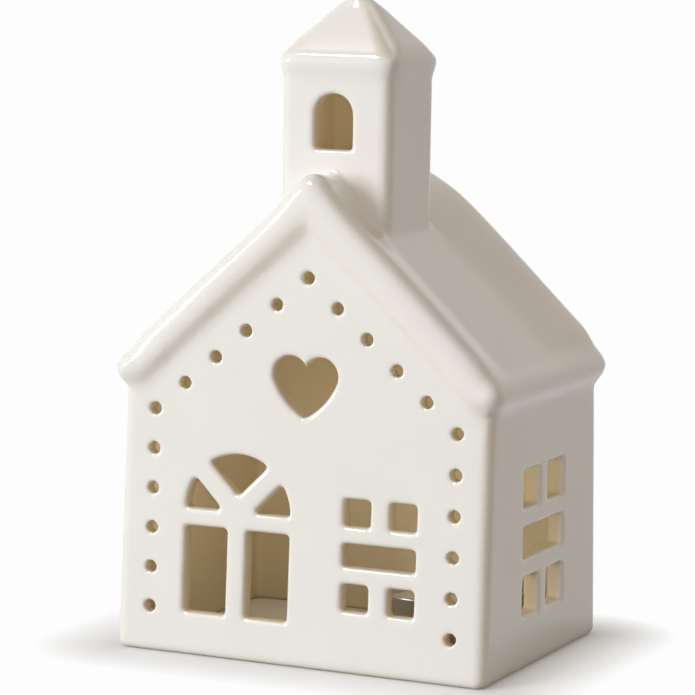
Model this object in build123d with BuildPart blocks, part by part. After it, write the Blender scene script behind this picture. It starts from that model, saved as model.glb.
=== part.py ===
from build123d import *

import os
from math import atan2, cos, hypot, radians, sin, tan

# A glazed ceramic tealight house: a slip-cast shell, open underneath, that stands over a tealight.
# Units are millimetres. +Z is up, the gable with the door faces -Y, and the origin is the middle
# of the surface that the house and its tealight stand on.

# House walls
base_width = 100.0
base_depth = 76.0
wall_thickness = 4.2
side_lean_angle = 0.5
gable_lean_angle = 2.4
wall_corner_radius = 3.0
inner_corner_radius = 2.0
foot_edge_radius = 2.0
foot_inner_radius = 0.5

# Roof
eave_height = 71.8
roof_rise = 46.7
eave_overhang = 1.0
gable_overhang = 2.7
roof_band = 6.6
roof_bulge = 0.5
roof_edge_radius = 4.0
roof_corner_radius = 4.5
roof_lip = 0.5
roof_cove_size = 2.6
eave_flare_height = 6.4
rake_flare_height = 4.4

# Tower and its cap
tower_width = 29.7
tower_depth = 27.6
tower_middle_y = -6.7
tower_corner_radius = 3.0
tower_cove_radius = 2.2
tower_rise = 28.9
cap_rise = 17.2
cap_overhang = 1.7
cap_flare_height = 4.2
cap_flare_radius = 4.0
cap_edge_radius = 1.5
cap_blunt_width = 3.0
cap_blunt_corner_radius = 1.3
cap_tip_radius = 1.0

# Dots along the front, in two columns and up the two slopes to a peak
dot_diameter = 3.2
dot_edge_radius = 0.6
dot_column_inset = 9.4
dot_lowest_height = 11.4
dot_eave_drop = 10.9
dot_peak_drop = 22.9
dots_in_column = 6
dot_steps_in_slope = 5

# Heart
heart_width = 17.2
heart_height = 15.0
heart_notch_depth = 2.5
heart_notch_radius = 1.5
heart_eave_drop = 10.4
heart_tip_radius = 0.8
lobe_out_share = 0.52
shoulder_out_share = 0.95
shoulder_up_share = 0.57

# Door with a fanlight, and its share of the free width between the two columns of dots
door_gap_share = 0.25
door_width = 28.4
door_sill_height = 10.9
door_pane_height = 21.6
door_transom = 4.4
door_post = 5.4
fan_bar = 5.6
fan_bar_lean = 45
door_corner_radius = 0.8

# Front window, and its share of the same free width
window_gap_share = 0.27
window_sill_height = 15.3
window_pane_width = 7.0
window_post = 5.2
window_pane_height = 6.8
window_slot_height = 5.8
window_rail = 4.1

# Side window
side_window_middle_y = -0.5
side_window_sill_height = 13.7
side_pane_width = 10.2
side_window_post = 5.5
side_pane_height = 9.2
side_slot_height = 7.6
side_window_rail = 4.9
pane_corner_radius = 0.9

# Arch in the tower
arch_middle_x = -0.5
arch_width = 10.2
arch_height = 13.7
arch_middle_share = 0.57

# Glaze-softened edge round every opening but the dots
opening_edge_radius = 1.2

# Tealight, standing clear of the right-hand wall
tealight_wall_gap = 3.8
tealight_y = 5.0
cup_diameter = 38.0
cup_foot_diameter = 36.4
cup_height = 15.0
cup_skin = 0.25
cup_bead_diameter = 0.9
cup_foot_radius = 1.4
wax_level = 11.0
wax_gap = 0.05
wax_edge_radius = 0.6
wick_diameter = 1.3
wick_length = 17.2
sustainer_diameter = 14.0
sustainer_skin = 0.3
sustainer_neck_diameter = 2.4
sustainer_neck_height = 4.5

# One overrun for every cut, and how near two places count as the same
cut_overrun = 2.0
same_place = 0.01

# Sizes that follow from the ones above
side_shift_share = tan(radians(side_lean_angle))
gable_shift_share = tan(radians(gable_lean_angle))
roof_run = base_width / 2 + eave_overhang
ridge_height = eave_height + roof_rise
roof_slope = atan2(roof_rise, roof_run)
gable_face = Plane(
    origin=(0, -base_depth / 2, 0),
    x_dir=(1, 0, 0),
    z_dir=(0, -cos(radians(gable_lean_angle)), sin(radians(gable_lean_angle))),
)
side_face = Plane(
    origin=(base_width / 2, 0, 0),
    x_dir=(0, 1, 0),
    z_dir=(cos(radians(side_lean_angle)), 0, sin(radians(side_lean_angle))),
)
tower_face = Plane(origin=(0, tower_middle_y - tower_depth / 2, 0), x_dir=(1, 0, 0), z_dir=(0, -1, 0))


def roof_points(depth):
    """Ridge, middle and eave of the right-hand slope, a depth below its outer face."""
    across = sin(roof_slope)
    down = cos(roof_slope)
    ridge = (0, ridge_height - depth / down)
    eave = (roof_run - across * depth, eave_height - down * depth)
    middle = (
        (ridge[0] + eave[0]) / 2 + across * roof_bulge,
        (ridge[1] + eave[1]) / 2 + down * roof_bulge,
    )
    return ridge, middle, eave


def leaning_house(inset, roof_depth, radius):
    """House-shaped block: four leaning walls under a gabled top, drawn in by an inset."""
    ridge, middle, eave = roof_points(roof_depth)
    with BuildPart() as block:
        for height in (0, ridge_height):
            width = base_width - 2 * (height * side_shift_share + inset)
            depth = base_depth - 2 * (height * gable_shift_share + inset)
            with BuildSketch(Plane.XY.offset(height)):
                RectangleRounded(width, depth, radius)
        loft(ruled=True)
        with BuildSketch(Plane.XZ):
            with BuildLine():
                ThreePointArc(ridge, middle, eave)
                Polyline(eave, (base_width, eave[1]), (base_width, 0), (0, 0))
                mirror(about=Plane.YZ)
            make_face()
        extrude(amount=base_depth, both=True, mode=Mode.INTERSECT)
    return block.part


def tower_plane(height):
    """Level plane with its origin on the tower's middle line."""
    return Plane(origin=(0, tower_middle_y, height))


def level_ring(part, height):
    """Edges of a part that lie level at one height."""
    return part.edges().filter_by_position(Axis.Z, height - same_place, height + same_place)


def mouth_edges(part, plane):
    """Edges of the newest cuts that lie in an outer face."""

    def lies_in_face(edge):
        return max(abs(plane.to_local_coords(edge @ share).Z) for share in (0, 0.5, 1)) < same_place

    return part.edges(Select.NEW).filter_by(lies_in_face)


def window_panes(middle, sill, post, pane_width, pane_height, slot_height, rail):
    """Two square panes, one wide slot, and two square panes, with rails between them."""
    centre_height = sill + pane_height + rail + slot_height / 2
    rows_apart = pane_height + 2 * rail + slot_height
    with Locations((middle, centre_height)):
        RectangleRounded(2 * pane_width + post, slot_height, pane_corner_radius)
        with GridLocations(pane_width + post, rows_apart, 2, 2):
            RectangleRounded(pane_width, pane_height, pane_corner_radius)


# Walls: both gables stand up into the roof band, and the front and the right-hand wall are pierced
dot_column_x = base_width / 2 - dot_column_inset
dot_highest_height = eave_height - dot_eave_drop
dot_peak_height = ridge_height - dot_peak_drop
dot_spacing = (dot_highest_height - dot_lowest_height) / (dots_in_column - 1)
window_width = 2 * window_pane_width + window_post
between_dots = 2 * dot_column_x - dot_diameter
free_width = between_dots - door_width - window_width
door_middle_x = door_width / 2 + free_width * door_gap_share - between_dots / 2
window_middle_x = between_dots / 2 - free_width * window_gap_share - window_width / 2
fan_height = door_sill_height + door_pane_height + door_transom
door_pane_width = (door_width - door_post) / 2
heart_out = heart_width / 2
heart_tip_height = eave_height - heart_eave_drop
heart_notch_height = heart_tip_height + heart_height - heart_notch_depth
shoulder = (heart_out * shoulder_out_share, heart_tip_height + heart_height * shoulder_up_share)
with BuildPart() as walls_form:
    add(leaning_house(0, roof_band / 2, wall_corner_radius))
    fillet(level_ring(walls_form, 0), foot_edge_radius)

    # Door: two tall panes under a fanlight of three wedges
    with BuildSketch(gable_face):
        with Locations((door_middle_x, door_sill_height + door_pane_height / 2)):
            with GridLocations(door_width - door_pane_width, 0, 2, 1):
                RectangleRounded(door_pane_width, door_pane_height, door_corner_radius)
    extrude(amount=wall_thickness + cut_overrun, both=True, mode=Mode.SUBTRACT)
    fillet(mouth_edges(walls_form, gable_face), opening_edge_radius)
    with BuildSketch(gable_face) as fanlight:
        with Locations((door_middle_x, fan_height)):
            Circle(door_width / 2)
            Rectangle(door_width, door_width / 2, align=(Align.CENTER, Align.MAX), mode=Mode.SUBTRACT)
            for lean in (fan_bar_lean, -fan_bar_lean):
                Rectangle(door_width, fan_bar, rotation=lean, mode=Mode.SUBTRACT)
        fillet(fanlight.vertices(), door_corner_radius)
    extrude(amount=wall_thickness + cut_overrun, both=True, mode=Mode.SUBTRACT)
    fillet(mouth_edges(walls_form, gable_face), opening_edge_radius)

    # Windows: the smaller one beside the door, the larger one in the right-hand wall
    with BuildSketch(gable_face):
        window_panes(
            window_middle_x,
            window_sill_height,
            window_post,
            window_pane_width,
            window_pane_height,
            window_slot_height,
            window_rail,
        )
    extrude(amount=wall_thickness + cut_overrun, both=True, mode=Mode.SUBTRACT)
    fillet(mouth_edges(walls_form, gable_face), opening_edge_radius)
    with BuildSketch(side_face):
        window_panes(
            side_window_middle_y,
            side_window_sill_height,
            side_window_post,
            side_pane_width,
            side_pane_height,
            side_slot_height,
            side_window_rail,
        )
    extrude(amount=wall_thickness + cut_overrun, both=True, mode=Mode.SUBTRACT)
    fillet(mouth_edges(walls_form, side_face), opening_edge_radius)

    # Heart: a lobe arc and a side arc, and their mirror image
    with BuildSketch(gable_face) as heart:
        with BuildLine():
            lobe = ThreePointArc(
                (0, heart_notch_height),
                (heart_out * lobe_out_share, heart_tip_height + heart_height),
                shoulder,
            )
            TangentArc(shoulder, (0, heart_tip_height), tangent=lobe % 1)
            mirror(about=Plane.YZ)
        make_face()
        on_middle = heart.vertices().filter_by_position(Axis.X, -same_place, same_place).sort_by(Axis.Y)
        fillet(on_middle[0], heart_tip_radius)
        fillet(on_middle[-1], heart_notch_radius)
    extrude(amount=wall_thickness + cut_overrun, both=True, mode=Mode.SUBTRACT)
    fillet(mouth_edges(walls_form, gable_face), opening_edge_radius)

    # Dots: round holes that follow the walls and the roof
    with BuildSketch(gable_face):
        with Locations((0, (dot_lowest_height + dot_highest_height) / 2)):
            with GridLocations(2 * dot_column_x, dot_spacing, 2, dots_in_column):
                Circle(dot_diameter / 2)
        for step in range(1, dot_steps_in_slope + 1):
            step_share = step / dot_steps_in_slope
            dot_x = dot_column_x * (1 - step_share)
            dot_height = dot_highest_height + (dot_peak_height - dot_highest_height) * step_share
            with Locations((dot_x, dot_height), (-dot_x, dot_height)):
                Circle(dot_diameter / 2)
    extrude(amount=wall_thickness + cut_overrun, both=True, mode=Mode.SUBTRACT)
    fillet(mouth_edges(walls_form, gable_face), dot_edge_radius)

# Roof outlines: the slab across the house, which flares out of the side walls at the eaves, and
# the level outlines that trim it, which flare out of the gables and round the corners. The lowest
# one carries the flare on as far below the gable's face as it comes out above it.
outer_ridge, outer_middle, outer_eave = roof_points(0)
inner_ridge, inner_middle, inner_eave = roof_points(roof_band)
flare_foot_height = eave_height - eave_flare_height
flare_foot = (base_width / 2 - flare_foot_height * side_shift_share, flare_foot_height)
band_foot = (inner_eave[0] + (inner_eave[1] - flare_foot_height) / tan(roof_slope), flare_foot_height)
rake_foot = base_depth / 2 + gable_overhang
rake_top = rake_foot - ridge_height * gable_shift_share
rake_flare_top = flare_foot_height + rake_flare_height
rake_bend = rake_foot - rake_flare_top * gable_shift_share
trim_side = roof_run + roof_lip
trim_foot = base_depth / 2 - flare_foot_height * gable_shift_share
trim_sections = [
    (
        rake_flare_top - 2 * rake_flare_height,
        2 * flare_foot[0] - trim_side,
        2 * trim_foot - rake_bend,
        2 * wall_corner_radius - roof_corner_radius,
    ),
    (rake_flare_top, trim_side, rake_bend, roof_corner_radius),
    (ridge_height, trim_side, rake_top, roof_corner_radius),
]


def on_plane(plane, *points):
    """Points across and up, as they lie on a plane that leans with a gable."""
    return [(across, (up - plane.origin.Z) / plane.y_dir.Z) for across, up in points]


# Coves: behind its lip the roof's overhang slopes back into both gables
cove_run = gable_overhang - roof_lip
high_ridge, high_middle, high_eave = roof_points(roof_band / 2)
side_top = (flare_foot[0] - roof_lip, flare_foot_height + roof_lip)
with BuildPart() as cove_form:
    for out in (-wall_thickness / 2, gable_overhang - roof_lip / 2):
        cove = roof_cove_size * (1 - out / cove_run)
        foot_height = flare_foot_height - cove
        side_foot = (flare_foot[0] - roof_lip, foot_height)
        low_ridge, low_middle, low_eave = roof_points(roof_band + cove)
        low_foot = (low_eave[0] + (low_eave[1] - foot_height) / tan(roof_slope), foot_height)
        plane = gable_face.offset(out)
        with BuildSketch(plane):
            with BuildLine():
                ThreePointArc(*on_plane(plane, high_ridge, high_middle, high_eave))
                Polyline(*on_plane(plane, high_eave, side_top, side_foot, low_foot))
                ThreePointArc(*on_plane(plane, low_foot, low_middle, low_ridge))
                mirror(about=Plane.YZ)
            make_face()
    loft(ruled=True)
    mirror(about=Plane.XZ)

# Roof: a bent slab with rounded edges, proud of both gables, and the coves under its overhang
with BuildPart() as roof_form:
    with BuildSketch(Plane.XZ):
        with BuildLine():
            ThreePointArc(outer_ridge, outer_middle, outer_eave)
            Polyline(outer_eave, flare_foot, band_foot)
            ThreePointArc(band_foot, inner_middle, inner_ridge)
            mirror(about=Plane.YZ)
        make_face()
    extrude(amount=base_depth, both=True)
    with BuildSketch(Plane.YZ):
        Polygon(
            (rake_foot, 0),
            (rake_top, ridge_height),
            (-rake_top, ridge_height),
            (-rake_foot, 0),
            align=None,
        )
    extrude(amount=base_width, both=True, mode=Mode.INTERSECT)
    slopes = roof_form.faces().filter_by(GeomType.CYLINDER).sort_by(Axis.Z)[-2:]
    fillet(slopes.edges(), roof_edge_radius)
    add(cove_form.part)
    for height, half_width, half_depth, radius in trim_sections:
        with BuildSketch(Plane.XY.offset(height)):
            RectangleRounded(2 * half_width, 2 * half_depth, radius)
    loft(ruled=True, mode=Mode.INTERSECT)

# Tower: a straight shaft, a flare out to the cap's edge, a blunt four-sided cap, and an arch in front
cap_width = tower_width + 2 * cap_overhang
cap_depth = tower_depth + 2 * cap_overhang
cap_edge_height = ridge_height + tower_rise
cap_apex_height = cap_edge_height + cap_rise
cap_rise_share = cap_rise / (cap_width / 2)
cap_flare_foot = cap_edge_height - cap_flare_height
cap_blunt_height = cap_apex_height - cap_rise_share * cap_blunt_width / 2
arch_middle_height = ridge_height + (cap_flare_foot - ridge_height) * arch_middle_share
arch_sill_height = arch_middle_height - arch_height / 2
with BuildPart() as tower_form:
    with BuildSketch(tower_plane(eave_height)):
        RectangleRounded(tower_width, tower_depth, tower_corner_radius)
    extrude(amount=cap_flare_foot - eave_height)
    with BuildSketch(tower_plane(cap_flare_foot)):
        RectangleRounded(tower_width, tower_depth, tower_corner_radius)
    with BuildSketch(tower_plane(cap_edge_height)):
        RectangleRounded(cap_width, cap_depth, tower_corner_radius + cap_overhang)
    loft(ruled=True)
    with BuildSketch(tower_plane(cap_edge_height)):
        RectangleRounded(cap_width, cap_depth, tower_corner_radius + cap_overhang)
    with BuildSketch(tower_plane(cap_blunt_height)):
        RectangleRounded(cap_blunt_width, cap_blunt_width, cap_blunt_corner_radius)
    loft(ruled=True)
    fillet(level_ring(tower_form, cap_flare_foot), cap_flare_radius)
    fillet(level_ring(tower_form, cap_edge_height), cap_edge_radius)
    fillet(level_ring(tower_form, cap_blunt_height), cap_tip_radius)

    # Arched opening in the front of the tower
    with BuildSketch(tower_face) as arch:
        with Locations((arch_middle_x, arch_sill_height)):
            Rectangle(arch_width, arch_height - arch_width / 2, align=(Align.CENTER, Align.MIN))
        with Locations((arch_middle_x, arch_sill_height + arch_height - arch_width / 2)):
            Circle(arch_width / 2)
        fillet(arch.vertices().group_by(Axis.Y)[0], pane_corner_radius)
    extrude(amount=wall_thickness + cut_overrun, both=True, mode=Mode.SUBTRACT)
    fillet(mouth_edges(tower_form, tower_face), opening_edge_radius)

# Hollow of the tower, from the attic up into its cap
shaft_width = tower_width - 2 * wall_thickness
shaft_depth = tower_depth - 2 * wall_thickness
hollow_apex = cap_apex_height - wall_thickness * hypot(1, cap_rise_share)
hollow_edge = hollow_apex - cap_rise_share * shaft_width / 2
hollow_blunt = hollow_apex - cap_rise_share * cap_blunt_width / 2
with BuildPart() as tower_hollow:
    with BuildSketch(tower_plane(eave_height)):
        RectangleRounded(shaft_width, shaft_depth, inner_corner_radius)
    extrude(amount=hollow_edge - eave_height)
    with BuildSketch(tower_plane(hollow_edge)):
        RectangleRounded(shaft_width, shaft_depth, inner_corner_radius)
    with BuildSketch(tower_plane(hollow_blunt)):
        RectangleRounded(cap_blunt_width, cap_blunt_width, cap_blunt_corner_radius)
    loft(ruled=True)


# House shell: one casting of walls, roof and tower, hollow and open underneath, with a pierced front
with BuildPart() as house_shell:
    add(walls_form.part)
    add(roof_form.part)
    add(tower_form.part)
    fillet(house_shell.edges(Select.NEW).filter_by(lambda edge: edge.is_interior), tower_cove_radius)
    add(leaning_house(wall_thickness, wall_thickness, inner_corner_radius), mode=Mode.SUBTRACT)
    foot_rim = house_shell.faces().sort_by(Axis.Z)[0]
    fillet(foot_rim.inner_wires()[0].edges(), foot_inner_radius)
    add(tower_hollow.part, mode=Mode.SUBTRACT)

# Tealight cup: thin pressed aluminium, tapering to its foot, with a rolled bead round the rim
tealight_x = base_width / 2 - wall_thickness - tealight_wall_gap - cup_diameter / 2
tealight_section = Plane(origin=(tealight_x, tealight_y, 0), x_dir=(1, 0, 0), z_dir=(0, -1, 0))
tealight_floor = Plane(origin=(tealight_x, tealight_y, cup_skin))
tealight_axis = Axis((tealight_x, tealight_y, 0), (0, 0, 1))
foot_out = cup_foot_diameter / 2
rim_out = (cup_diameter - cup_bead_diameter + cup_skin) / 2
bead_height = cup_height - cup_bead_diameter / 2
with BuildPart() as tealight_cup:
    with BuildSketch(tealight_section):
        Polygon((0, 0), (foot_out, 0), (rim_out, bead_height), (0, bead_height), align=None)
    revolve(axis=tealight_axis)
    fillet(level_ring(tealight_cup, 0), cup_foot_radius)
    offset(amount=-cup_skin, openings=tealight_cup.faces().sort_by(Axis.Z)[-1])
    with BuildSketch(tealight_section):
        with Locations((rim_out - cup_skin / 2, bead_height)):
            Circle(cup_bead_diameter / 2)
    revolve(axis=tealight_axis)

# Wick sustainer: a thin steel disc on the floor of the cup, with a neck that grips the wick
with BuildPart() as wick_sustainer:
    with BuildSketch(tealight_floor):
        Circle(sustainer_diameter / 2)
    extrude(amount=sustainer_skin)
    with BuildSketch(tealight_floor):
        Circle(sustainer_neck_diameter / 2)
    extrude(amount=sustainer_neck_height)
    with BuildSketch(tealight_floor):
        Circle(wick_diameter / 2)
    extrude(amount=sustainer_neck_height, mode=Mode.SUBTRACT)

# Wick: a waxed cotton cord that stands in the sustainer's neck
with BuildPart() as tealight_wick:
    with BuildSketch(tealight_floor):
        Circle(wick_diameter / 2)
    extrude(amount=wick_length)

# Wax: cast in the cup round the sustainer and the wick, and shrunk a little from the wall
taper_share = (rim_out - foot_out) / bead_height
wax_foot_out = foot_out + cup_skin * taper_share - cup_skin - wax_gap
wax_top_out = wax_foot_out + (wax_level - cup_skin) * taper_share
with BuildPart() as tealight_wax:
    with BuildSketch(tealight_section):
        Polygon(
            (0, cup_skin),
            (wax_foot_out, cup_skin),
            (wax_top_out, wax_level),
            (0, wax_level),
            align=None,
        )
    revolve(axis=tealight_axis)
    fillet(level_ring(tealight_wax, cup_skin), cup_foot_radius)
    fillet(level_ring(tealight_wax, wax_level), wax_edge_radius)
    add(wick_sustainer.part, mode=Mode.SUBTRACT)
    add(tealight_wick.part, mode=Mode.SUBTRACT)

house_shell.part.label = "house_shell"
tealight_cup.part.label = "tealight_cup"
tealight_wax.part.label = "tealight_wax"
tealight_wick.part.label = "tealight_wick"
wick_sustainer.part.label = "wick_sustainer"

os.makedirs("parts", exist_ok=True)
export_step(house_shell.part, "parts/house_shell.step")
export_step(tealight_cup.part, "parts/tealight_cup.step")
export_step(tealight_wax.part, "parts/tealight_wax.step")
export_step(tealight_wick.part, "parts/tealight_wick.step")
export_step(wick_sustainer.part, "parts/wick_sustainer.step")
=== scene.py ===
import math

import bpy
import numpy as np
from mathutils import Matrix, Vector


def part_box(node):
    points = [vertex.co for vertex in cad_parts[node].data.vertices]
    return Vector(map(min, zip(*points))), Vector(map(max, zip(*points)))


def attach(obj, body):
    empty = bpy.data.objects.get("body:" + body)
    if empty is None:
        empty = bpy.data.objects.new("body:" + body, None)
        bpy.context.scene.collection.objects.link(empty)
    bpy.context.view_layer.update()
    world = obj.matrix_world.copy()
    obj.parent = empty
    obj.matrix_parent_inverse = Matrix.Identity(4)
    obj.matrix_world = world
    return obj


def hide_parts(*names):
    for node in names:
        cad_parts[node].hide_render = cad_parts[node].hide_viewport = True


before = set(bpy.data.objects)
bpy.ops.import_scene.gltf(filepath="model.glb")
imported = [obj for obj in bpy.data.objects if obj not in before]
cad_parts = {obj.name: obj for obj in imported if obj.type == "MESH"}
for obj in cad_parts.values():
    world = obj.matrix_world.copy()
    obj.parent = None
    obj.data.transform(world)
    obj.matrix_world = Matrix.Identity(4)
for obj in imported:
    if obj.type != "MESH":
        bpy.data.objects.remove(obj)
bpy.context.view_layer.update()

# Tealight cup: a thin aluminium cup, pressed from rolled sheet, with fine flutes round its wall
# and the edge rolled over into a bead. It holds the wax, and stands on the table under the house.
MM = 0.001
cup_low, cup_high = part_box("tealight_cup")
cup_middle = Vector(((cup_low.x + cup_high.x) / 2, (cup_low.y + cup_high.y) / 2, 0))
cup_out = (cup_high.x - cup_low.x) / 2
cup_height = cup_high.z
cup_skin = 0.25 * MM
cup_bead = 0.45 * MM
cup_foot_round = 1.4 * MM
cup_taper = 0.8 * MM
cup_flutes = 84
cup_flute_depth = 0.16 * MM
cup_flute_span = (2.2 * MM, 12.4 * MM)
cup_flute_fade = 1.0 * MM
cup_ring_steps = (2.4 * MM, 2.0 * MM, 1.2 * MM, 0.8 * MM)
cup_ring_depth = 0.12 * MM
cup_wall_steps = 24
cup_turn_steps = cup_flutes * 5
outer_share = 0.9
same_place = 1e-7


def linear_colour(hex_colour):
    """An sRGB hex colour as the linear red, green, blue and alpha that a shader takes."""
    shares = [int(hex_colour[i : i + 2], 16) / 255 for i in (1, 3, 5)]
    return [s / 12.92 if s <= 0.04045 else ((s + 0.055) / 1.055) ** 2.4 for s in shares] + [1.0]


def add_node(tree, kind, inputs=None, **settings):
    """Adds a node with its settings. An input is a value, or another node's output to link."""
    node = tree.nodes.new(kind)
    for name, value in settings.items():
        setattr(node, name, value)
    for name, value in (inputs or {}).items():
        if isinstance(value, bpy.types.NodeSocket):
            tree.links.new(value, node.inputs[name])
        else:
            node.inputs[name].default_value = value
    return node


def arc(middle, radius, start, stop, steps):
    """Points (out, up) along an arc, with its angles in degrees from straight outwards."""
    angles = [math.radians(start + (stop - start) * i / steps) for i in range(steps + 1)]
    return [(middle[0] + radius * math.cos(a), middle[1] + radius * math.sin(a)) for a in angles]


def turn(name, outline, steps, closed=False, ripple=None):
    """Turns an outline of (out, up) points round the tealight's middle line into a smooth mesh.

    ripple(angle, out, up) gives how far a point is moved outwards and sideways."""
    outline = [p for i, p in enumerate(outline) if i == 0 or math.dist(p, outline[i - 1]) > same_place]
    points = []
    faces = []
    rings = []
    for out, up in outline:
        if out < same_place:
            rings.append([len(points)])
            points.append((cup_middle.x, cup_middle.y, up))
            continue
        ring = []
        for step in range(steps):
            angle = 2 * math.pi * step / steps
            more, lean_x, lean_y = ripple(angle, out, up) if ripple else (0.0, 0.0, 0.0)
            ring.append(len(points))
            x = cup_middle.x + (out + more) * math.cos(angle) + lean_x
            y = cup_middle.y + (out + more) * math.sin(angle) + lean_y
            points.append((x, y, up))
        rings.append(ring)
    above = rings[1:] + rings[:1] if closed else rings[1:]
    for lower, upper in zip(rings, above):
        for step in range(steps):
            after = (step + 1) % steps
            if len(lower) == 1:
                faces.append((lower[0], upper[after], upper[step]))
            elif len(upper) == 1:
                faces.append((lower[step], lower[after], upper[0]))
            else:
                faces.append((lower[step], lower[after], upper[after], upper[step]))
    mesh = bpy.data.meshes.new(name)
    mesh.from_pydata(points, [], faces)
    mesh.validate()
    mesh.shade_smooth()
    piece = bpy.data.objects.new(name, mesh)
    bpy.context.scene.collection.objects.link(piece)
    return piece


def cup_ripple(angle, out, up):
    """Flutes press the wall inwards between the foot and the bead, and fade at both ends."""
    low, high = cup_flute_span
    if up < low or up > high or out < cup_out * outer_share:
        return 0.0, 0.0, 0.0
    fade = min(1.0, (up - low) / cup_flute_fade, (high - up) / cup_flute_fade)
    return -cup_flute_depth * fade * (0.5 + 0.5 * math.cos(cup_flutes * angle)), 0.0, 0.0


def cup_outline():
    """Outer skin from the middle of the floor to the bead, over it, and back down inside.

    A shallow ring is pressed up into the floor, near the wall."""
    bead_middle = (cup_out - cup_bead, cup_height - cup_bead)
    wall_foot = cup_out - cup_taper
    wall_top = cup_out - cup_bead + cup_skin / 2
    ring_out = wall_foot - cup_foot_round
    ring_heights = (0.0, cup_ring_depth, cup_ring_depth, 0.0)
    outer = [(0.0, 0.0)] + [(ring_out - back, up) for back, up in zip(cup_ring_steps, ring_heights)]
    outer += arc((ring_out, cup_foot_round), cup_foot_round, -90, 0, 8)
    rises = [i / cup_wall_steps for i in range(1, cup_wall_steps)]
    climb = cup_height - 2 * cup_bead - cup_foot_round
    outer += [(wall_foot + (wall_top - wall_foot) * t, cup_foot_round + climb * t) for t in rises]
    bead = arc(bead_middle, cup_bead, -60, 240, 18)
    inner_round = cup_foot_round - cup_skin
    inner = [(out - cup_skin, up) for out, up in reversed(outer[-len(rises) :])]
    inner += arc((ring_out, cup_foot_round), inner_round, 0, -90, 8)
    return outer + bead + inner + [(0.0, cup_skin)]


cup = turn("aluminium_cup", cup_outline(), steps=cup_turn_steps, ripple=cup_ripple)

# Rolled aluminium is a bright grey metal. The press leaves it shiny, with faint drawn streaks up the
# wall, so its roughness wanders a little and its reflections break up at the flutes.
aluminium = bpy.data.materials.new("rolled_aluminium")
aluminium.use_nodes = True
tree = aluminium.node_tree
shader = tree.nodes["Principled BSDF"]
place = add_node(tree, "ShaderNodeTexCoord").outputs["Object"]
streak_width = 0.35 * MM
streaks = add_node(
    tree,
    "ShaderNodeTexNoise",
    {"Vector": place, "Scale": 1 / streak_width, "Detail": 3.0, "Roughness": 0.6},
).outputs["Fac"]
shine = add_node(tree, "ShaderNodeMapRange", {"Value": streaks, "To Min": 0.22, "To Max": 0.38})
tree.links.new(shine.outputs["Result"], shader.inputs["Roughness"])
tint = add_node(
    tree,
    "ShaderNodeMix",
    {"Factor": streaks, "A": linear_colour("#D6D7DA"), "B": linear_colour("#E6E6E8")},
    data_type="RGBA",
)
tree.links.new(tint.outputs["Result"], shader.inputs["Base Color"])
creases = add_node(tree, "ShaderNodeBump", {"Height": streaks, "Distance": 0.01 * MM, "Strength": 0.6})
tree.links.new(creases.outputs["Normal"], shader.inputs["Normal"])
shader.inputs["Metallic"].default_value = 1.0
cup.data.materials.append(aluminium)
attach(cup, "tealight")
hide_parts("tealight_cup")

# Wick sustainer: a thin disc of tinned steel with a neck drawn up in its middle. The neck is pinched
# round the foot of the wick, and the disc lies on the floor of the cup under the wax.
disc_low, disc_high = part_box("wick_sustainer")
disc_out = (disc_high.x - disc_low.x) / 2
disc_skin = 0.3 * MM
disc_edge = 0.1 * MM
neck_out = 1.2 * MM
neck_hole = 0.65 * MM
neck_root = 0.5 * MM
neck_pinches = 4
neck_pinch_depth = 0.22 * MM
neck_pinch_span = (2.0 * MM, 4.2 * MM)
neck_pinch_fade = 0.5 * MM
neck_steps = 12
disc_steps = (0.8, 0.6, 0.4)


def neck_ripple(angle, out, up):
    """Pinches press the neck inwards at its upper half."""
    low, high = neck_pinch_span
    if up < low or up > high or out < neck_out * outer_share:
        return 0.0, 0.0, 0.0
    fade = min(1.0, (up - low) / neck_pinch_fade, (high - up) / neck_pinch_fade)
    return -neck_pinch_depth * fade * max(0.0, math.cos(neck_pinches * angle)) ** 2, 0.0, 0.0


def disc_outline():
    """Under the disc, round its edge, over it and up the neck. The neck's hole closes the loop."""
    disc_top = disc_low.z + disc_skin
    edge_out = disc_out - disc_edge
    points = [(neck_hole, disc_low.z)]
    points += arc((edge_out, disc_low.z + disc_edge), disc_edge, -90, 0, 4)
    points += arc((edge_out, disc_top - disc_edge), disc_edge, 0, 90, 4)
    points += [(disc_out * share, disc_top) for share in disc_steps]
    points += arc((neck_out + neck_root, disc_top + neck_root), neck_root, 270, 180, 5)
    rise = disc_high.z - disc_top - neck_root
    points += [(neck_out, disc_top + neck_root + rise * i / neck_steps) for i in range(1, neck_steps + 1)]
    return points + [(neck_hole, disc_high.z)]


sustainer = turn("steel_sustainer", disc_outline(), steps=64, closed=True, ripple=neck_ripple)

# Tinned steel is a cool grey metal, softly shiny, with fine scratches from the strip it is cut from
tinned = bpy.data.materials.new("tinned_steel")
tinned.use_nodes = True
tree = tinned.node_tree
shader = tree.nodes["Principled BSDF"]
place = add_node(tree, "ShaderNodeTexCoord").outputs["Object"]
scratch_width = 0.12 * MM
scratch_length = 2.5 * MM
along_strip = add_node(
    tree,
    "ShaderNodeMapping",
    {"Vector": place, "Scale": (1 / scratch_width, 1 / scratch_length, 1 / scratch_width)},
)
scratches = add_node(
    tree,
    "ShaderNodeTexNoise",
    {"Vector": along_strip.outputs["Vector"], "Scale": 1.0, "Detail": 2.0},
).outputs["Fac"]
tint = add_node(
    tree,
    "ShaderNodeMix",
    {"Factor": scratches, "A": linear_colour("#B4B7BA"), "B": linear_colour("#CBCDCF")},
    data_type="RGBA",
)
tree.links.new(tint.outputs["Result"], shader.inputs["Base Color"])
sheen = add_node(tree, "ShaderNodeMapRange", {"Value": scratches, "To Min": 0.26, "To Max": 0.42})
tree.links.new(sheen.outputs["Result"], shader.inputs["Roughness"])
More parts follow.
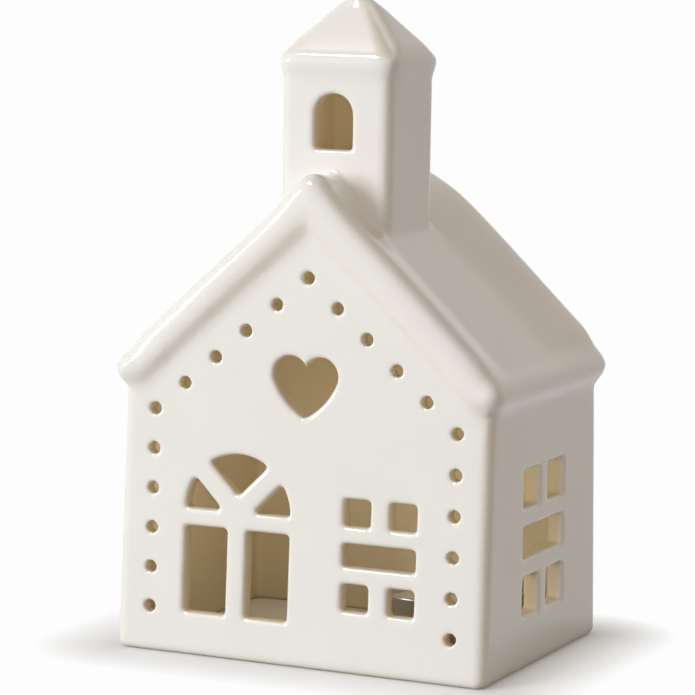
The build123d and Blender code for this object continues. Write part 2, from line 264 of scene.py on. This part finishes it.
scored = add_node(tree, "ShaderNodeBump", {"Height": scratches, "Distance": 0.004 * MM, "Strength": 0.7})
tree.links.new(scored.outputs["Normal"], shader.inputs["Normal"])
shader.inputs["Metallic"].default_value = 1.0
sustainer.data.materials.append(tinned)
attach(sustainer, "tealight")
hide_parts("wick_sustainer")

# Wick: three strands of cotton, plaited flat and stiffened with wax. It is cut to length and held by the
# sustainer's neck, with its tip above the wax.
wick_low, wick_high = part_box("tealight_wick")
strand_out = 0.2 * MM
plait_half_width = 0.4 * MM
plait_half_depth = 0.24 * MM
plait_pitch = 2.6 * MM
strands = 3
strand_sides = 10
strand_steps = 150
strand_end = ((0.7, 0.7), (0.95, 0.3))
look_ahead = 0.05 * MM


def plait_strand(phase):
    """Rings of points round one strand of the plait, from its foot to its tip.

    strand_end rounds both ends: how far out a ring stands and how wide it is, in strand radii."""
    length = wick_high.z - wick_low.z - 2 * strand_out
    turns = 2 * math.pi / plait_pitch

    def middle(up):
        swing = up * turns + phase
        side = (plait_half_width * math.sin(swing), plait_half_depth * math.sin(2 * swing))
        return Vector((cup_middle.x + side[0], cup_middle.y + side[1], wick_low.z + strand_out + up))

    rings = []
    for step in range(strand_steps + 1):
        up = length * step / strand_steps
        along = (middle(up + look_ahead) - middle(up - look_ahead)).normalized()
        across = along.cross(Vector((0, 1, 0))).normalized()
        behind = along.cross(across)
        levels = [(0, 1)]
        if step == 0:
            levels = [(-shift, share) for shift, share in reversed(strand_end)] + levels
        if step == strand_steps:
            levels += strand_end
        for shift, share in levels:
            ring = []
            for side in range(strand_sides):
                angle = 2 * math.pi * side / strand_sides
                out = across * math.cos(angle) + behind * math.sin(angle)
                ring.append(middle(up) + along * shift * strand_out + out * strand_out * share)
            rings.append(ring)
    return rings


def plaited_mesh(name):
    """All the strands, closed at both ends, in one mesh."""
    points = []
    faces = []
    for strand in range(strands):
        rings = plait_strand(2 * math.pi * strand / strands)
        first = len(points)
        points += [tuple(p) for ring in rings for p in ring]
        for ring in range(len(rings) - 1):
            for side in range(strand_sides):
                after = (side + 1) % strand_sides
                low = first + ring * strand_sides
                high = low + strand_sides
                faces.append((low + side, high + side, high + after, low + after))
        last = first + (len(rings) - 1) * strand_sides
        faces.append(tuple(range(first, first + strand_sides)))
        faces.append(tuple(range(last + strand_sides - 1, last - 1, -1)))
    mesh = bpy.data.meshes.new(name)
    mesh.from_pydata(points, [], faces)
    mesh.validate()
    mesh.shade_smooth()
    return mesh


wick = bpy.data.objects.new("plaited_wick", plaited_mesh("plaited_wick"))
bpy.context.scene.collection.objects.link(wick)

# Waxed cotton is off-white and dull, with a fine thread along each strand. The real thread is finer
# than shows here, so it is drawn about twice as coarse.
cotton = bpy.data.materials.new("waxed_cotton")
cotton.use_nodes = True
tree = cotton.node_tree
shader = tree.nodes["Principled BSDF"]
place = add_node(tree, "ShaderNodeTexCoord").outputs["Object"]
thread_width = 0.09 * MM
thread_length = 0.6 * MM
along_thread = add_node(
    tree,
    "ShaderNodeMapping",
    {"Vector": place, "Scale": (1 / thread_width, 1 / thread_width, 1 / thread_length)},
)
threads = add_node(
    tree,
    "ShaderNodeTexNoise",
    {"Vector": along_thread.outputs["Vector"], "Scale": 1.0, "Detail": 2.0},
).outputs["Fac"]
tint = add_node(
    tree,
    "ShaderNodeMix",
    {"Factor": threads, "A": linear_colour("#D9CFB8"), "B": linear_colour("#EFE8D8")},
    data_type="RGBA",
)
tree.links.new(tint.outputs["Result"], shader.inputs["Base Color"])
dull = add_node(tree, "ShaderNodeMapRange", {"Value": threads, "To Min": 0.5, "To Max": 0.75})
tree.links.new(dull.outputs["Result"], shader.inputs["Roughness"])
twist = add_node(tree, "ShaderNodeBump", {"Height": threads, "Distance": 0.03 * MM, "Strength": 0.8})
tree.links.new(twist.outputs["Normal"], shader.inputs["Normal"])
wick.data.materials.append(cotton)
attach(wick, "tealight")
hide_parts("tealight_wick")

# Wax: paraffin, poured round the wick and its sustainer. It shrinks as it sets, so it stands a little
# clear of the cup, with a rounded edge, a shallow dish in the top and a rise where it wets the wick.
wax_low, wax_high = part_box("tealight_wax")
wax_gap = 0.2 * MM
wax_edge = 0.7 * MM
wax_dish = 0.5 * MM
wax_rise = 0.3 * MM
wax_rise_width = 1.6 * MM
wax_clearance = 0.02 * MM
wax_wall_steps = 10
wax_top_steps = 40
wax_taper = cup_taper * (wax_high.z - cup_foot_round) / cup_height


def wax_outline():
    """Out along the floor, up the wall, in over the dished top, down the wick and over the disc."""
    top_out = (wax_high.x - wax_low.x) / 2 - wax_gap
    foot_out = top_out - wax_taper
    round_out = foot_out - cup_foot_round
    floor = wax_low.z
    disc_side = disc_out + wax_clearance
    points = [(disc_side, floor)]
    points += arc((round_out, floor + cup_foot_round), cup_foot_round, -90, 0, 8)
    climb = wax_high.z - wax_edge - floor - cup_foot_round
    for i in range(1, wax_wall_steps):
        share = i / wax_wall_steps
        points.append((foot_out + wax_taper * share, floor + cup_foot_round + climb * share))
    edge_out = top_out - wax_edge
    points += arc((edge_out, wax_high.z - wax_edge), wax_edge, 0, 90, 8)
    hole = neck_hole + wax_clearance
    for i in range(1, wax_top_steps + 1):
        share = i / wax_top_steps
        out = edge_out * (1 - share) + hole * share
        dish = wax_dish * (1 - (out / edge_out) ** 3)
        rise = wax_rise * math.exp(-(out - hole) / (wax_rise_width / 3))
        points.append((out, wax_high.z - dish + rise))
    neck_side = neck_out + wax_clearance
    neck_top = disc_high.z + wax_clearance
    neck_foot = disc_low.z + disc_skin + neck_root
    points += [(hole, neck_top), (neck_side, neck_top)]
    return points + [(neck_side, neck_foot), (disc_side, neck_foot)]


wax = turn("paraffin_wax", wax_outline(), steps=128, closed=True)

# Paraffin wax lets light a little way in, so it looks milky, with a dull satin skin and faint clouds
# where it set last
paraffin = bpy.data.materials.new("paraffin_wax")
paraffin.use_nodes = True
tree = paraffin.node_tree
shader = tree.nodes["Principled BSDF"]
place = add_node(tree, "ShaderNodeTexCoord").outputs["Object"]
cloud_width = 5.0 * MM
crystal_width = 0.8 * MM
clouds = add_node(
    tree,
    "ShaderNodeTexNoise",
    {"Vector": place, "Scale": 1 / cloud_width, "Detail": 2.0},
).outputs["Fac"]
crystals = add_node(
    tree,
    "ShaderNodeTexNoise",
    {"Vector": place, "Scale": 1 / crystal_width, "Detail": 3.0},
).outputs["Fac"]
tint = add_node(
    tree,
    "ShaderNodeMix",
    {"Factor": clouds, "A": linear_colour("#EEE9DB"), "B": linear_colour("#F5F1E6")},
    data_type="RGBA",
)
tree.links.new(tint.outputs["Result"], shader.inputs["Base Color"])
satin = add_node(tree, "ShaderNodeMapRange", {"Value": crystals, "To Min": 0.36, "To Max": 0.52})
tree.links.new(satin.outputs["Result"], shader.inputs["Roughness"])
set_marks = add_node(tree, "ShaderNodeBump", {"Height": crystals, "Distance": 0.02 * MM, "Strength": 0.6})
tree.links.new(set_marks.outputs["Normal"], shader.inputs["Normal"])
shader.inputs["Subsurface Weight"].default_value = 0.5
shader.inputs["Subsurface Radius"].default_value = (1.0, 0.8, 0.6)
shader.inputs["Subsurface Scale"].default_value = 2.5 * MM
shader.inputs["IOR"].default_value = 1.44
wax.data.materials.append(paraffin)
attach(wax, "tealight")
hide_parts("tealight_wax")

# House casting: walls, roof, tower and cap are one slip-cast piece of buff clay. The openings are cut
# by hand while it is soft, and the outside is dipped in a clear-white glaze, which rounds every edge and
# stands in rolls along the rakes, the eaves and the cap. The hollow under the rakes is painted tan, partly
# for glaze gathering thick there and partly as painted shade.

# Its outer faces, in metres. The leans and falls are slopes, in metres per metre.
wall_thickness = 4.2 * MM
base_half_width = 50.0 * MM
base_half_depth = 38.0 * MM
side_lean = 0.0087
gable_lean = 0.0419
ridge_height = 118.5 * MM
roof_fall = 0.9157
eave_height = 69.8 * MM
eave_out = 1.3 * MM
tower_half_width = 14.85 * MM
tower_half_depth = 13.8 * MM
tower_middle_y = -6.7 * MM
cap_apex = 164.6 * MM
cap_fall = 1.04

# Rolls of glaze: a swell is how far one stands out at most, and a pair gives where it starts and where
# it is full. On the slopes it takes a face that looks up, close to the roof's plane and off the tower.
slope_tilt = (0.3, 0.6)
slope_under = (6 * MM, 4 * MM)
slope_over = (-4 * MM, -2 * MM)
slope_from_tower = (0.3 * MM, 4 * MM)
rake_foot = (eave_height + 1 * MM, eave_height + 9 * MM)
front_rake_swell = 1.1 * MM
front_rake_band = (-12 * MM, -1 * MM)
back_rake_swell = 3.0 * MM
back_rake_band = (-30 * MM, -1 * MM)
back_rake_climb = (eave_height + 10 * MM, eave_height + 40 * MM)
back_rake_foot_share = 0.75
back_rake_ridge_loss = 0.65
back_rake_ridge_reach = 6 * MM
eave_swell = 1.7 * MM
eave_reach_up = 3.4 * MM
eave_reach_out = 2.5 * MM
cap_swell = 1.2 * MM
cap_under = (1 * MM, 0.3 * MM)
cap_foot = (147.5 * MM, 150.5 * MM)
ridge_swell = 2.4 * MM
ridge_under = (9 * MM, 1 * MM)
ridge_over = (-4 * MM, -0.5 * MM)
ridge_reach = 7 * MM
# Painted shade, partly thick glaze: the tan band in the hollow under the rakes
painted_shade_under = 7 * MM
painted_shade_reach = 2.0 * MM
painted_shade_band = (-2.5 * MM, -1 * MM)
painted_shade_strength = 0.35

# Depths as shares of the wall's thickness: the glazed face, and the cut sides between the two faces
face_share = 0.02
cut_share_low = 0.1
cut_share_high = 0.9

# Softening: the grain of the mesh, and the rounds that smooth the roof's edges and the walls. The pairs
# give where the roof's edges, its coves and the cap start, and where they are softened in full.
shell_voxel = 0.5 * MM
roof_soften = 80
wall_soften = 10
cut_spread = 4
share_levels = 10
soft_past_wall = (-1.5 * MM, 0.0)
soft_under_roof = (14 * MM, 10 * MM)
soft_eave_heights = (58 * MM, 63 * MM)
soft_from_tower = (1.5 * MM, 5 * MM)
soft_tower_foot = 0.15
soft_cap_heights = (139 * MM, 142 * MM)
soft_cap_out = 4 * MM


def house_places(mesh):
    """Each point's distances, in metres, from the outer faces of the roof, walls, tower and cap."""
    places = np.empty(len(mesh.vertices) * 3, np.float32)
    mesh.vertices.foreach_get("co", places)
    x, y, z = np.abs(places[0::3]), places[1::3], places[2::3]
    tower_x, tower_y = x - tower_half_width, np.abs(y - tower_middle_y) - tower_half_depth
    cap_side = np.maximum(x, np.abs(y - tower_middle_y))
    return {
        "off middle": x,
        "behind": y,
        "height": z,
        "under roof": (ridge_height - roof_fall * x - z) / math.hypot(1, roof_fall),
        "out of side": x - base_half_width + side_lean * z,
        "out of gable": np.abs(y) - base_half_depth + gable_lean * z,
        "out of tower": np.maximum(tower_x, tower_y),
        "under cap": (cap_apex - z - cap_fall * cap_side) / math.hypot(1, cap_fall),
    }


def skin_depth(mesh):
    """How deep each point lies under the outer faces, as a share of the wall's thickness."""
    at = house_places(mesh)
    house = np.minimum(at["under roof"], -np.maximum(at["out of side"], at["out of gable"]))
    tower = np.minimum(-at["out of tower"], at["under cap"])
    return np.clip(np.maximum(house, tower) / wall_thickness, 0, 1)


def near(*offsets_and_reaches):
    """1 where all offsets are nil, falling to 0 over their reaches."""
    return np.exp(-sum((offset / reach) ** 2 for offset, reach in offsets_and_reaches))


def ramp(value, nil, full):
    """0 at the first limit, rising softly to 1 at the second, which may be the lower one."""
    share = np.clip((value - nil) / (full - nil), 0, 1)
    return share * share * (3 - 2 * share)


def glaze_swell(mesh, facing_up):
    """How far the slip stands out in rolls along the rakes and the eaves, and over the cap's slopes."""
    at = house_places(mesh)
    outside = skin_depth(mesh) < face_share
    on_slope = ramp(facing_up, *slope_tilt) * ramp(at["under roof"], *slope_under)
    on_slope *= ramp(at["under roof"], *slope_over) * ramp(at["out of tower"], *slope_from_tower)
    front_rake = ramp(at["out of gable"], *front_rake_band) * (at["behind"] < 0) * front_rake_swell
    back_rake = ramp(at["out of gable"], *back_rake_band) * (at["behind"] > 0) * back_rake_swell
    back_rake *= back_rake_foot_share + (1 - back_rake_foot_share) * ramp(at["height"], *back_rake_climb)
    back_rake *= 1 - back_rake_ridge_loss * near((at["off middle"], back_rake_ridge_reach))
    rake = on_slope * (front_rake + back_rake) * ramp(at["height"], *rake_foot)
    off_eave = (at["height"] - eave_height, eave_reach_up), (at["out of side"] - eave_out, eave_reach_out)
    eave = near(*off_eave) * eave_swell
    cap = ramp(at["under cap"], *cap_under) * ramp(at["height"], *cap_foot) * cap_swell
    return rake + outside * (eave + cap)


def ridge_lift(mesh):
    """How far the short ridge in front of the tower stands up in a rounded knob."""
    at = house_places(mesh)
    level = ramp(at["under roof"], *ridge_under) * ramp(at["under roof"], *ridge_over)
    return ridge_swell * level * near((at["off middle"], ridge_reach)) * (at["behind"] < 0)


def pooled_glaze_and_painted_shade(mesh):
    """Painted shade, partly thick glaze: a tan band in the hollow under the front and back rakes."""
    at = house_places(mesh)
    hollow = near((at["under roof"] - painted_shade_under, painted_shade_reach)) * ramp(at["out of gable"], *painted_shade_band)
    return painted_shade_strength * hollow * (skin_depth(mesh) < cut_share_low)


def far_from_cuts(mesh):
    """0 on the cut sides of the openings and beside them, rising to 1 a few millimetres away."""
    depth = skin_depth(mesh)
    cut = ((depth > cut_share_low) & (depth < cut_share_high)).astype(np.float32)
    ends = np.empty(len(mesh.edges) * 2, np.int32)
    mesh.edges.foreach_get("vertices", ends)
    first, second = ends[0::2], ends[1::2]
    for _ in range(cut_spread):
        wider = cut.copy()
        np.maximum.at(wider, first, cut[second])
        np.maximum.at(wider, second, cut[first])
        cut = wider
    neighbours = np.bincount(ends, minlength=len(cut))
    for _ in range(2 * cut_spread):
        total = np.bincount(first, cut[second], len(cut)) + np.bincount(second, cut[first], len(cut))
        cut = total / neighbours
    return 1 - cut


def roof_softness(mesh):
    """1 along the roof's edges, its coves and the cap, and 0 on the plain walls and the tower's shaft."""
    at = house_places(mesh)
    overhang = ramp(at["out of gable"], *soft_past_wall) * ramp(at["under roof"], *soft_under_roof)
    under_eave = ramp(at["out of side"], *soft_past_wall) * ramp(at["height"], *soft_eave_heights)
    beside_tower = np.maximum(ramp(at["out of tower"], *soft_from_tower), soft_tower_foot)
    on_cap = ramp(at["height"], *soft_cap_heights) * (at["out of tower"] < soft_cap_out)
    return np.maximum(np.maximum(overhang, under_eave) * beside_tower, on_cap)


def baked(piece):
    """The piece's mesh with its modifiers applied."""
    bpy.context.view_layer.update()
    return bpy.data.meshes.new_from_object(piece.evaluated_get(bpy.context.evaluated_depsgraph_get()))


# The solid is remeshed into small even faces, its points are lifted where the glaze stands in rolls, and
# the edges are smoothed. Each point keeps its depth and its share of the tan painted shade for the
# material.
shell = bpy.data.objects.new("house_casting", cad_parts["house_shell"].data.copy())
bpy.context.scene.collection.objects.link(shell)
slip = shell.modifiers.new("slip", "REMESH")
slip.mode = "VOXEL"
slip.voxel_size = shell_voxel
even_mesh = baked(shell)
shell.modifiers.clear()
shell.data = even_mesh
places = np.empty(len(even_mesh.vertices) * 3, np.float32)
normals = np.empty(len(even_mesh.vertices) * 3, np.float32)
even_mesh.vertices.foreach_get("co", places)
even_mesh.vertex_normals.foreach_get("vector", normals)
swell = glaze_swell(even_mesh, normals[2::3])
places += normals * np.repeat(swell, 3).astype(np.float32)
places[2::3] += ridge_lift(even_mesh)
even_mesh.vertices.foreach_set("co", places)
keep_cuts = far_from_cuts(even_mesh)
for name, shares, rounds in (
    ("dipped_edges", roof_softness(even_mesh) * keep_cuts, roof_soften),
    ("sponged_walls", keep_cuts, wall_soften),
):
    levels = np.rint(shares * share_levels).astype(int)
    group = shell.vertex_groups.new(name=name)
    for level in range(1, share_levels + 1):
        group.add(np.flatnonzero(levels == level).tolist(), level / share_levels, "REPLACE")
    smooth = shell.modifiers.new(name, "SMOOTH")
    smooth.factor = 0.5
    smooth.iterations = rounds
    smooth.vertex_group = name
fired = shell.modifiers.new("fired", "SMOOTH")
fired.factor = 0.5
fired.iterations = 1
soft_mesh = baked(shell)
shell.modifiers.clear()
shell.vertex_groups.clear()
shell.data = soft_mesh
shell.data.shade_smooth()
for name, values in (("clay_depth", skin_depth(soft_mesh)), ("pooled_glaze_and_painted_shade", pooled_glaze_and_painted_shade(soft_mesh))):
    layer = shell.data.attributes.new(name, "FLOAT", "POINT")
    layer.data.foreach_set("value", values.astype(np.float32))

# Glazed earthenware: a glossy off-white glass skin, slightly uneven, over bare buff clay that is dull
# and warm. The clay shows inside and on the cut sides of the openings, where the glaze runs thin.
glazed = bpy.data.materials.new("glazed_earthenware")
glazed.use_nodes = True
tree = glazed.node_tree
shader = tree.nodes["Principled BSDF"]
place = add_node(tree, "ShaderNodeTexCoord").outputs["Object"]
deep = add_node(tree, "ShaderNodeAttribute", attribute_name="clay_depth").outputs["Fac"]
bare = add_node(
    tree,
    "ShaderNodeMapRange",
    {"Value": deep, "From Min": 0.03, "From Max": 0.45},
    interpolation_type="SMOOTHSTEP",
).outputs["Result"]
cloud_size = 22.0 * MM
wave_size = 7.0 * MM
grain_size = 0.5 * MM
clouds = add_node(
    tree,
    "ShaderNodeTexNoise",
    {"Vector": place, "Scale": 1 / cloud_size, "Detail": 2.0},
).outputs["Fac"]
waves = add_node(
    tree,
    "ShaderNodeTexNoise",
    {"Vector": place, "Scale": 1 / wave_size, "Detail": 1.0},
).outputs["Fac"]
grain = add_node(
    tree,
    "ShaderNodeTexNoise",
    {"Vector": place, "Scale": 1 / grain_size, "Detail": 3.0},
).outputs["Fac"]
glaze_colour = add_node(
    tree,
    "ShaderNodeMix",
    {"Factor": clouds, "A": linear_colour("#EFEAE2"), "B": linear_colour("#F4F0EA")},
    data_type="RGBA",
).outputs["Result"]
# Painted shade: the hollow under the rakes is tinted tan, partly for glaze gathering thick there
tan_glaze_and_shade = add_node(tree, "ShaderNodeAttribute", attribute_name="pooled_glaze_and_painted_shade").outputs["Fac"]
glaze_colour = add_node(
    tree,
    "ShaderNodeMix",
    {"Factor": tan_glaze_and_shade, "A": glaze_colour, "B": linear_colour("#F0E4CD")},
    data_type="RGBA",
).outputs["Result"]
clay_colour = add_node(
    tree,
    "ShaderNodeMix",
    {"Factor": grain, "A": linear_colour("#E6D6B2"), "B": linear_colour("#EDDFBF")},
    data_type="RGBA",
).outputs["Result"]
skin = add_node(
    tree,
    "ShaderNodeMix",
    {"Factor": bare, "A": glaze_colour, "B": clay_colour},
    data_type="RGBA",
).outputs["Result"]
tree.links.new(skin, shader.inputs["Base Color"])
gloss = add_node(tree, "ShaderNodeMapRange", {"Value": bare, "To Min": 0.09, "To Max": 0.75})
tree.links.new(gloss.outputs["Result"], shader.inputs["Roughness"])
glaze_bump = add_node(tree, "ShaderNodeBump", {"Height": waves, "Distance": 0.05 * MM, "Strength": 1.0})
clay_bump = add_node(
    tree,
    "ShaderNodeBump",
    {"Height": grain, "Distance": 0.02 * MM, "Strength": bare, "Normal": glaze_bump.outputs["Normal"]},
)
tree.links.new(clay_bump.outputs["Normal"], shader.inputs["Normal"])
shader.inputs["IOR"].default_value = 1.5
shell.data.materials.clear()
shell.data.materials.append(glazed)
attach(shell, "house")
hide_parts("house_shell")

# Floor: a plain pale table top that the house stands on, with no part in the object. It looks white all
# round, and only close to the house, within shadow_fade of it, does it show its own colour and shadow.
floor_half = 3.0
shadow_half = (46 * MM, 34 * MM, 1.0)
shadow_fade = 26 * MM
floor_mesh = bpy.data.meshes.new("pale_floor")
floor_corners = [(-floor_half, -floor_half, 0), (floor_half, -floor_half, 0)]
floor_corners += [(floor_half, floor_half, 0), (-floor_half, floor_half, 0)]
floor_mesh.from_pydata(floor_corners, [], [(0, 1, 2, 3)])
floor = bpy.data.objects.new("pale_floor", floor_mesh)
bpy.context.scene.collection.objects.link(floor)
paper = bpy.data.materials.new("pale_paper")
paper.use_nodes = True
tree = paper.node_tree
shader = tree.nodes["Principled BSDF"]
rays = add_node(tree, "ShaderNodeLightPath")
paper_colour = add_node(
    tree,
    "ShaderNodeMix",
    {"Factor": rays.outputs["Is Camera Ray"], "A": linear_colour("#BEBEBE"), "B": linear_colour("#F2F2F2")},
    data_type="RGBA",
)
tree.links.new(paper_colour.outputs["Result"], shader.inputs["Base Color"])
shader.inputs["Roughness"].default_value = 0.9
shader.inputs["Specular IOR Level"].default_value = 0.0

# How far each point of the floor lies outside the foot, worked out alike for all four quarters
place = add_node(tree, "ShaderNodeTexCoord").outputs["Object"]
quarter = add_node(tree, "ShaderNodeVectorMath", {0: place}, operation="ABSOLUTE").outputs["Vector"]
beyond = add_node(
    tree,
    "ShaderNodeVectorMath",
    {0: quarter, 1: shadow_half},
    operation="SUBTRACT",
).outputs["Vector"]
beyond = add_node(
    tree,
    "ShaderNodeVectorMath",
    {0: beyond, 1: (0, 0, 0)},
    operation="MAXIMUM",
).outputs["Vector"]
away = add_node(tree, "ShaderNodeVectorMath", {0: beyond}, operation="LENGTH").outputs["Value"]
fade = add_node(tree, "ShaderNodeMapRange", {"Value": away, "From Max": shadow_fade}).outputs["Result"]
seen = add_node(
    tree,
    "ShaderNodeMath",
    {0: rays.outputs["Is Camera Ray"], 1: rays.outputs["Is Glossy Ray"]},
    operation="MAXIMUM",
).outputs["Value"]
white_share = add_node(tree, "ShaderNodeMath", {0: seen, 1: fade}, operation="MULTIPLY").outputs["Value"]
glow = add_node(tree, "ShaderNodeEmission", {"Color": linear_colour("#FDFDFD"), "Strength": 1.0})
backdrop = add_node(
    tree,
    "ShaderNodeMixShader",
    {"Fac": white_share, 1: shader.outputs["BSDF"], 2: glow.outputs["Emission"]},
)
tree.links.new(backdrop.outputs["Shader"], tree.nodes["Material Output"].inputs["Surface"])
floor.data.materials.append(paper)

# Studio light: a large soft lamp from the left and front, weak ones from the right, above and behind, two
# that only show as glints in the glaze, and a pale room all round. The room looks white, also in the
# glaze, and lights the object at the strength of ambient.
ambient = 0.28
world = bpy.data.worlds.new("pale_room")
bpy.context.scene.world = world
world.use_nodes = True
tree = world.node_tree
rays = add_node(tree, "ShaderNodeLightPath")
seen = add_node(
    tree,
    "ShaderNodeMath",
    {0: rays.outputs["Is Camera Ray"], 1: rays.outputs["Is Glossy Ray"]},
    operation="MAXIMUM",
).outputs["Value"]
seen = add_node(
    tree,
    "ShaderNodeMath",
    {0: seen, 1: rays.outputs["Is Transmission Ray"]},
    operation="MAXIMUM",
).outputs["Value"]
room = tree.nodes["Background"]
room_colour = add_node(
    tree,
    "ShaderNodeMix",
    {"Factor": seen, "A": linear_colour("#FFEEDC"), "B": linear_colour("#FDFDFD")},
    data_type="RGBA",
)
tree.links.new(room_colour.outputs["Result"], room.inputs["Color"])
strength = add_node(tree, "ShaderNodeMapRange", {"Value": seen, "To Min": ambient, "To Max": 1.0})
tree.links.new(strength.outputs["Result"], room.inputs["Strength"])

# Each lamp's name, its turn from the front and its rise in degrees, its distance and size in metres, its
# power in watts, its colour, and whether it lights the object and shows as a glint
aim = Vector((0, 0, 0.08))
lamps = (
    ("key_lamp", -35, 14, 2.0, 1.0, 31.6, (0.94, 1.0, 1.06), True, False),
    ("side_lamp", 62, 30, 1.6, 1.1, 1.8, (1.0, 0.88, 0.74), True, False),
    ("top_lamp", 60, 84, 1.8, 1.2, 2.4, (1.0, 0.96, 0.88), True, False),
    ("back_lamp", 180, 8, 2.0, 1.2, 7.0, (1.0, 0.97, 0.92), True, False),
    ("glint_lamp", -32, 60, 1.6, 0.55, 34.0, (1.0, 1.0, 1.0), False, True),
    ("strip_lamp", -50, 11.5, 1.6, 0.32, 7.0, (1.0, 1.0, 1.0), False, True),
)
for name, turn_angle, rise_angle, away, size, power, colour, lights, glints in lamps:
    lamp_data = bpy.data.lights.new(name, "AREA")
    lamp_data.shape = "SQUARE"
    lamp_data.size = size
    lamp_data.energy = power
    lamp_data.color = colour
    lamp = bpy.data.objects.new(name, lamp_data)
    lamp.visible_diffuse = lights
    lamp.visible_glossy = glints
    bpy.context.scene.collection.objects.link(lamp)
    turned, risen = math.radians(turn_angle), math.radians(rise_angle)
    flat = math.cos(risen)
    toward = Vector((math.sin(turned) * flat, -math.cos(turned) * flat, math.sin(risen)))
    lamp.location = aim + toward * away
    lamp.rotation_euler = toward.to_track_quat("Z", "Y").to_euler()

# Weak fills inside stand in for the daylight that the openings let in and the table throws up. They
# face the back, so that they don't light the cut sides of the openings. Each has its name, its place
# and size in metres, and its power in watts.
fill_colour = (1.0, 0.93, 0.84)
fills = (
    ("chamber_fill", (0, -0.0295, 0.042), (0.084, 0.034), 0.0104),
    ("tower_fill", (0, -0.0155, 0.134), (0.016, 0.018), 0.0006),
)
for name, place, size, power in fills:
    fill_data = bpy.data.lights.new(name, "AREA")
    fill_data.shape = "RECTANGLE"
    fill_data.size, fill_data.size_y = size
    fill_data.energy = power
    fill_data.color = fill_colour
    fill = bpy.data.objects.new(name, fill_data)
    fill.location = place
    fill.rotation_euler = (math.radians(90), 0, 0)
    fill.visible_camera = False
    fill.visible_glossy = False
    bpy.context.scene.collection.objects.link(fill)

# Camera: where the photograph was taken from, worked out from the edges and holes of the front. Its
# angles are in radians, and its focal length in pixels of a picture with sides of picture_side.
camera_place = Vector((335.04, -733.03, 178.41)) * MM
camera_yaw = 0.43416
camera_pitch = 0.12779
camera_roll = 0.01781
picture_side = 695
focal_pixels = 3227.753
back = Vector(
    (
        math.sin(camera_yaw) * math.cos(camera_pitch),
        -math.cos(camera_yaw) * math.cos(camera_pitch),
        math.sin(camera_pitch),
    )
)
level = Vector((math.cos(camera_yaw), math.sin(camera_yaw), 0))
upright = back.cross(level)
right = math.cos(camera_roll) * level + math.sin(camera_roll) * upright
up = -math.sin(camera_roll) * level + math.cos(camera_roll) * upright
camera_data = bpy.data.cameras.new("camera")
camera_data.sensor_width = 36.0
camera_data.lens = focal_pixels / picture_side * camera_data.sensor_width
camera_data.clip_start = 0.01
camera_data.clip_end = 20.0
camera = bpy.data.objects.new("camera", camera_data)
bpy.context.scene.collection.objects.link(camera)
camera.matrix_world = Matrix.Translation(camera_place) @ Matrix((right, up, back)).transposed().to_4x4()
bpy.context.scene.camera = camera
bpy.context.scene.view_settings.view_transform = "Standard"
